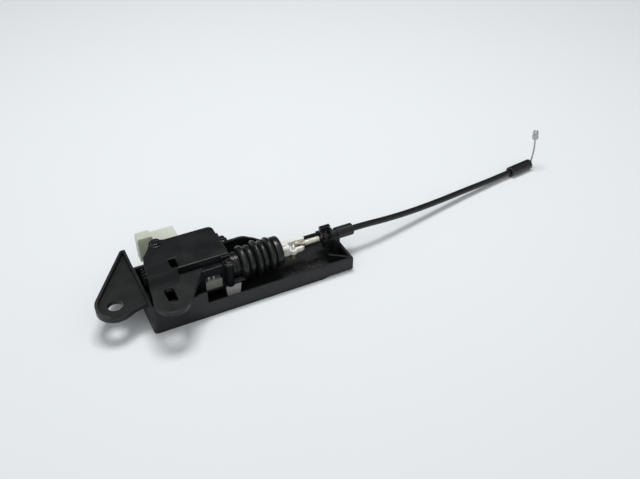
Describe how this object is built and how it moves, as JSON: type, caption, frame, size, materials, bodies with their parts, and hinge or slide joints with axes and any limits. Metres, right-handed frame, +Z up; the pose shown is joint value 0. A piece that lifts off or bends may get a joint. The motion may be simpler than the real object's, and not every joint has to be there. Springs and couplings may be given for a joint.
{
  "type": "hood release cable",
  "caption": "Powered hood release: a rack actuator in a moulded tray bracket with two fixing ears pulls the inner wire of a sheathed cable that ends in a nipple.",
  "frame": {"origin": "on the tray's underside, at the middle of the tray's length, straight below the rod and cable axis", "axes": "+X along the rod towards the cable, +Y towards the connector side, +Z up along the ears' holes"},
  "size_m": [0.411, 0.0911, 0.0411],
  "materials": {
    "bracket_plastic": "fine moulded grain, satin",
    "housing_plastic": "fine moulded grain, satin",
    "clip_plastic": "smooth moulded",
    "black_screw": "black zinc plating",
    "pale_plastic": "smooth moulded, slightly translucent",
    "white_nylon": "smooth moulded nylon",
    "gear_plastic": "smooth moulded acetal",
    "black_rubber": "satin rubber",
    "casing_plastic": "extruded, satin gloss",
    "bright_steel": "drawn, lightly worn",
    "motor_steel": "plated sheet",
    "tinned_contact": "tinned",
    "brass_contact": "stamped",
    "zinc": "die cast, dull"
  },
  "bodies": {
    "root": {"tray_bracket": "bracket_plastic", "actuator_base": "housing_plastic", "actuator_cover": "housing_plastic", "cover_screws": "black_screw", "connector_shell": "pale_plastic", "connector_pins": "brass_contact", "support_foot": "white_nylon", "contact_carrier": "pale_plastic", "contact_blades": "tinned_contact", "motor_end_cap": "white_nylon", "motor_can": "motor_steel", "gear_axle": "bright_steel", "rod_bush": "white_nylon", "bellows": "black_rubber", "cable_fitting": "bracket_plastic", "retaining_clip": "clip_plastic", "cable_casing": "casing_plastic", "end_ferrule": "casing_plastic", "wire_end": "bright_steel"},
    "motor_rotor": {"motor_shaft": "bright_steel", "motor_pinion": "brass_contact"},
    "gear": {"drive_gear": "gear_plastic"},
    "rod": {"rack_rod": "gear_plastic", "clevis": "white_nylon", "cable_hook": "bright_steel", "crimp_sleeve": "bright_steel", "inner_wire": "bright_steel"},
    "nipple": {"cable_nipple": "zinc"}
  },
  "joints": [
    {"name": "rod_slide", "type": "slide", "parent": "root", "child": "rod", "axis": [-1, 0, 0], "range_m": [0, 0.018], "deforming": ["bellows"]},
    {"name": "gear_spin", "type": "hinge", "parent": "root", "child": "gear", "pos_m": [-0.0385, 0.007, 0.02], "axis": [0, 0, -1], "range_deg": [0, 206.3]},
    {"name": "motor_spin", "type": "hinge", "parent": "root", "child": "motor_rotor", "pos_m": [-0.05557, 0.0115, 0.02], "axis": [0, 0, 1], "range_deg": [0, 928.3]},
    {"name": "nipple_slide", "type": "slide", "parent": "root", "child": "nipple", "axis": [-0.1193, -0.0676, -0.9905], "range_m": [0, 0.018], "deforming": ["wire_end"]}
  ],
  "couplings": [
    {"joint": "gear_spin", "follows": "rod_slide", "rad_per_m": 200},
    {"joint": "motor_spin", "follows": "rod_slide", "rad_per_m": 900},
    {"joint": "nipple_slide", "follows": "rod_slide", "ratio": 1}
  ]
}
